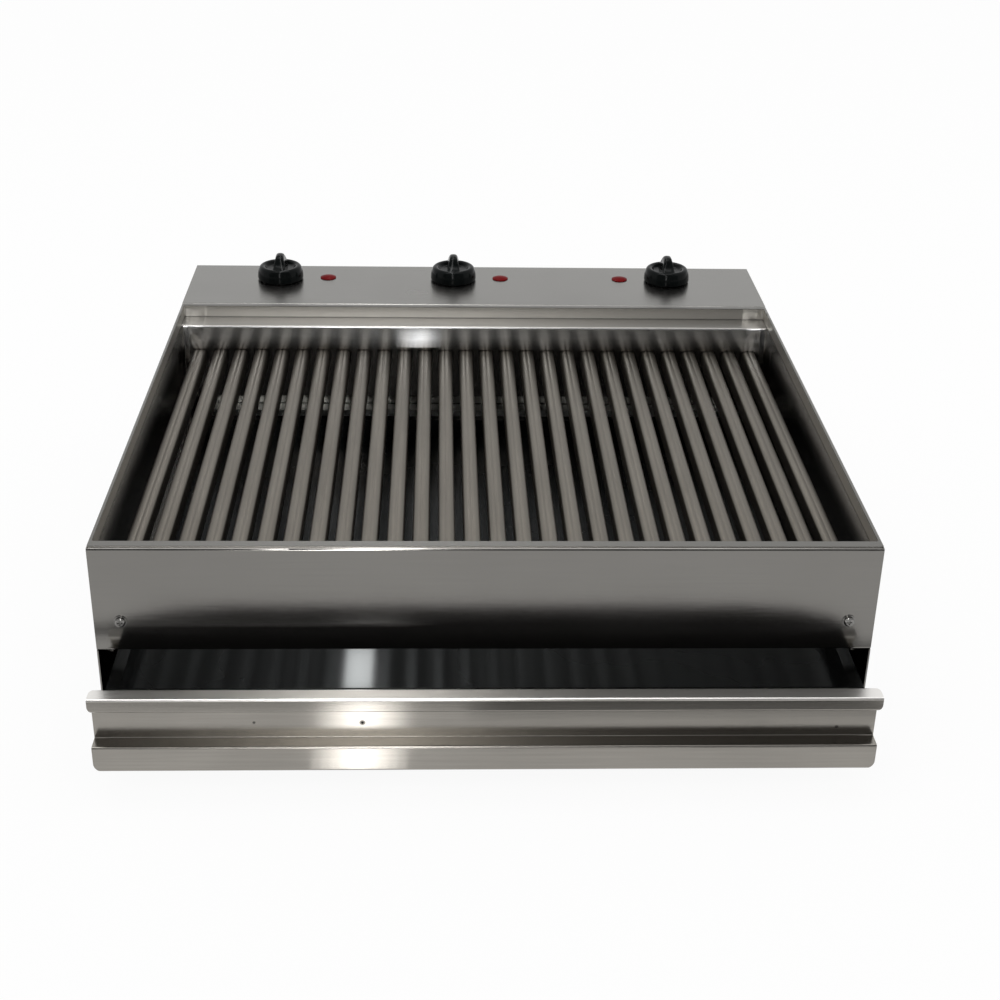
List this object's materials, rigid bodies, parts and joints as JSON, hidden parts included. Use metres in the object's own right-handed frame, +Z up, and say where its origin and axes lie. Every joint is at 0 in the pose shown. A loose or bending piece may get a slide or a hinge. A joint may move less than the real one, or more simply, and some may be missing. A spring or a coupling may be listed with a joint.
{
  "type": "countertop electric grill",
  "caption": "Countertop electric grill with parallel heated bars set in a deep well, a rear deck with turn knobs and pilot lamps, and a pull-out water tray below",
  "frame": {"origin": "On the floor, below the middle of the whole grill's bounding box with the drawer a little open", "axes": "+X to the right seen from the front, +Y from the front to the back, +Z up"},
  "size_m": [0.8, 0.931, 0.281],
  "materials": {
    "case_steel": "satin stainless sheet with a fine grain",
    "well_steel": "bright stainless sheet, browned by heat behind the bars",
    "bar_steel": "stainless sheet, dulled brown-grey by heat",
    "drawer_steel": "satin stainless sheet with a fine grain",
    "inner_steel": "plain stainless sheet inside the case",
    "heater_sheath": "dark oxidised alloy sheath",
    "screw_steel": "bright stainless screws",
    "shaft_steel": "turned steel",
    "knob_plastic": "glossy black phenolic",
    "lamp_lens": "dark red translucent lens",
    "regulator_body": "cream moulded housing",
    "terminal_body": "white moulded block",
    "gland_plastic": "black nylon",
    "foot_rubber": "black rubber"
  },
  "bodies": {
    "case": {"base_plate": "inner_steel", "cable_gland": "gland_plastic", "case_screws": "screw_steel", "control_deck": "case_steel", "drawer_runner_left": "inner_steel", "drawer_runner_right": "inner_steel", "feet": "foot_rubber", "front_bar_rail": "well_steel", "front_panel": "case_steel", "grill_bar_01": "bar_steel", "grill_bar_02": "bar_steel", "grill_bar_03": "bar_steel", "grill_bar_04": "bar_steel", "grill_bar_05": "bar_steel", "grill_bar_06": "bar_steel", "grill_bar_07": "bar_steel", "grill_bar_08": "bar_steel", "grill_bar_09": "bar_steel", "grill_bar_10": "bar_steel", "grill_bar_11": "bar_steel", "grill_bar_12": "bar_steel", "grill_bar_13": "bar_steel", "grill_bar_14": "bar_steel", "grill_bar_15": "bar_steel", "grill_bar_16": "bar_steel", "grill_bar_17": "bar_steel", "grill_bar_18": "bar_steel", "grill_bar_19": "bar_steel", "grill_bar_20": "bar_steel", "grill_bar_21": "bar_steel", "grill_bar_22": "bar_steel", "grill_bar_23": "bar_steel", "grill_bar_24": "bar_steel", "grill_bar_25": "bar_steel", "grill_bar_26": "bar_steel", "grill_bar_27": "bar_steel", "grill_bar_28": "bar_steel", "heat_shield": "inner_steel", "heating_rods_center": "heater_sheath", "heating_rods_left": "heater_sheath", "heating_rods_right": "heater_sheath", "pilot_lamp_center": "lamp_lens", "pilot_lamp_left": "lamp_lens", "pilot_lamp_right": "lamp_lens", "rear_panel": "case_steel", "regulator_center": "regulator_body", "regulator_left": "regulator_body", "regulator_right": "regulator_body", "side_panel_left": "case_steel", "side_panel_right": "case_steel", "terminal_block": "terminal_body", "well_pan": "well_steel"},
    "drawer": {"drawer_tray": "drawer_steel", "drawer_front": "drawer_steel"},
    "left_control": {"knob_left": "knob_plastic", "shaft_left": "shaft_steel"},
    "center_control": {"knob_center": "knob_plastic", "shaft_center": "shaft_steel"},
    "right_control": {"knob_right": "knob_plastic", "shaft_right": "shaft_steel"}
  },
  "joints": [
    {"name": "drawer_slide", "type": "slide", "parent": "case", "child": "drawer", "axis": [0, -1, 0], "range_m": [-0.0475, 0.4]},
    {"name": "knob_left_turn", "type": "hinge", "parent": "case", "child": "left_control", "pos_m": [-0.275, 0.3925, 0.26], "axis": [0, 0, -1], "range_deg": [0, 300]},
    {"name": "knob_center_turn", "type": "hinge", "parent": "case", "child": "center_control", "pos_m": [-0.03, 0.3925, 0.26], "axis": [0, 0, -1], "range_deg": [0, 300]},
    {"name": "knob_right_turn", "type": "hinge", "parent": "case", "child": "right_control", "pos_m": [0.275, 0.3925, 0.26], "axis": [0, 0, -1], "range_deg": [0, 300]}
  ]
}
